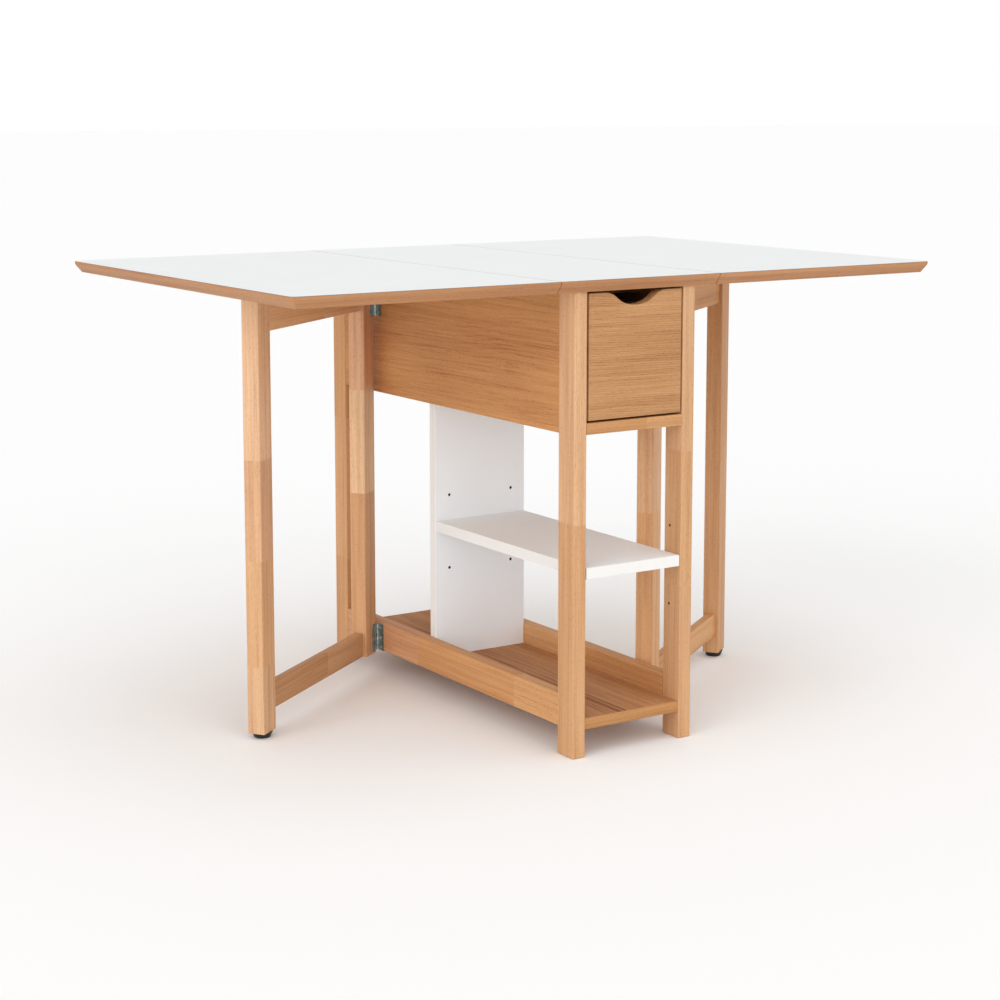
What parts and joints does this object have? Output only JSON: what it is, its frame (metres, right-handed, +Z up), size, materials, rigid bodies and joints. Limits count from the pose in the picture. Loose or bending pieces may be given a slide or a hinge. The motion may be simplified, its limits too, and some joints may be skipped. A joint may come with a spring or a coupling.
{
  "type": "gateleg table",
  "caption": "Rectangular gateleg table: narrow shelved body with a drawer, two swinging gate legs and two hinged leaves under a white laminate top.",
  "frame": {"origin": "on the floor under the middle of the open top", "axes": "+X along the open table, +Y to the back, away from the drawer, +Z up"},
  "size_m": [1.21, 0.796, 0.75],
  "materials": {
    "rubberwood": "finger-jointed rubberwood, clear satin lacquer",
    "oak_veneer": "oak veneer, clear satin lacquer",
    "top_edge_wood": "solid wood edge, clear lacquer",
    "white_laminate": "white high-pressure laminate, satin",
    "white_melamine": "white melamine-faced board, satin",
    "zinc_steel": "bright zinc plate",
    "screw_steel": "bright zinc plate",
    "black_plastic": "moulded",
    "drawer_wood": "birch plywood, unlacquered",
    "beech_dowel": "turned beech, bare"
  },
  "bodies": {
    "frame": {"centre_top": "top_edge_wood", "centre_top_laminate": "white_laminate", "front_left_post": "rubberwood", "front_right_post": "rubberwood", "back_left_post": "rubberwood", "back_right_post": "rubberwood", "left_side_rail": "rubberwood", "right_side_rail": "rubberwood", "top_cross_rails": "rubberwood", "case_front_rail": "rubberwood", "left_side_apron": "oak_veneer", "right_side_apron": "oak_veneer", "case_bottom": "oak_veneer", "back_panel": "oak_veneer", "bottom_shelf": "oak_veneer", "divider": "white_melamine", "shelf_pins": "screw_steel", "top_screws": "screw_steel", "runner_screws": "screw_steel", "body_hinge_screws": "screw_steel", "centre_hinge_screws": "screw_steel", "body_dowels": "beech_dowel", "drawer_runners": "beech_dowel", "body_hinge_plates": "zinc_steel", "gate_hinge_pins": "zinc_steel", "centre_hinge_plates": "zinc_steel", "leaf_hinge_pins": "zinc_steel"},
    "drawer": {"drawer_front": "oak_veneer", "drawer_dowels": "beech_dowel", "drawer_left_side": "drawer_wood", "drawer_right_side": "drawer_wood", "drawer_back": "drawer_wood", "drawer_bottom": "drawer_wood"},
    "left_gate": {"left_gate_hinge_screws": "screw_steel", "left_gate_dowels": "beech_dowel", "left_gate_hinge_plates": "zinc_steel", "left_gate_inner_post": "rubberwood", "left_gate_outer_leg": "rubberwood", "left_gate_top_rail": "rubberwood", "left_gate_bottom_rail": "rubberwood", "left_gate_foot": "black_plastic"},
    "right_gate": {"right_gate_hinge_screws": "screw_steel", "right_gate_dowels": "beech_dowel", "right_gate_hinge_plates": "zinc_steel", "right_gate_inner_post": "rubberwood", "right_gate_outer_leg": "rubberwood", "right_gate_top_rail": "rubberwood", "right_gate_bottom_rail": "rubberwood", "right_gate_foot": "black_plastic"},
    "left_leaf": {"left_leaf": "top_edge_wood", "left_leaf_laminate": "white_laminate", "left_leaf_screws": "screw_steel", "left_leaf_stop": "drawer_wood", "left_leaf_hinge_plates": "zinc_steel"},
    "right_leaf": {"right_leaf": "top_edge_wood", "right_leaf_laminate": "white_laminate", "right_leaf_screws": "screw_steel", "right_leaf_stop": "drawer_wood", "right_leaf_hinge_plates": "zinc_steel"},
    "shelf": {"adjustable_shelf": "white_melamine"}
  },
  "joints": [
    {"name": "drawer_slide", "type": "slide", "parent": "frame", "child": "drawer", "axis": [0, -1, 0], "range_m": [0, 0.32]},
    {"name": "left_gate_fold", "type": "hinge", "parent": "frame", "child": "left_gate", "pos_m": [-0.1174, 0.225, 0.3], "axis": [0, 0, 1], "range_deg": [0, 54]},
    {"name": "right_gate_fold", "type": "hinge", "parent": "frame", "child": "right_gate", "pos_m": [0.1174, -0.225, 0.3], "axis": [0, 0, 1], "range_deg": [0, 55]},
    {"name": "left_leaf_lift", "type": "hinge", "parent": "frame", "child": "left_leaf", "pos_m": [-0.1515, 0, 0.7284], "axis": [0, 1, 0], "range_deg": [0, 2.5]},
    {"name": "right_leaf_lift", "type": "hinge", "parent": "frame", "child": "right_leaf", "pos_m": [0.1515, 0, 0.7284], "axis": [0, -1, 0], "range_deg": [0, 2.5]},
    {"name": "shelf_lift", "type": "slide", "parent": "frame", "child": "shelf", "axis": [0, 0, 1], "range_m": [0, 0.2]}
  ]
}
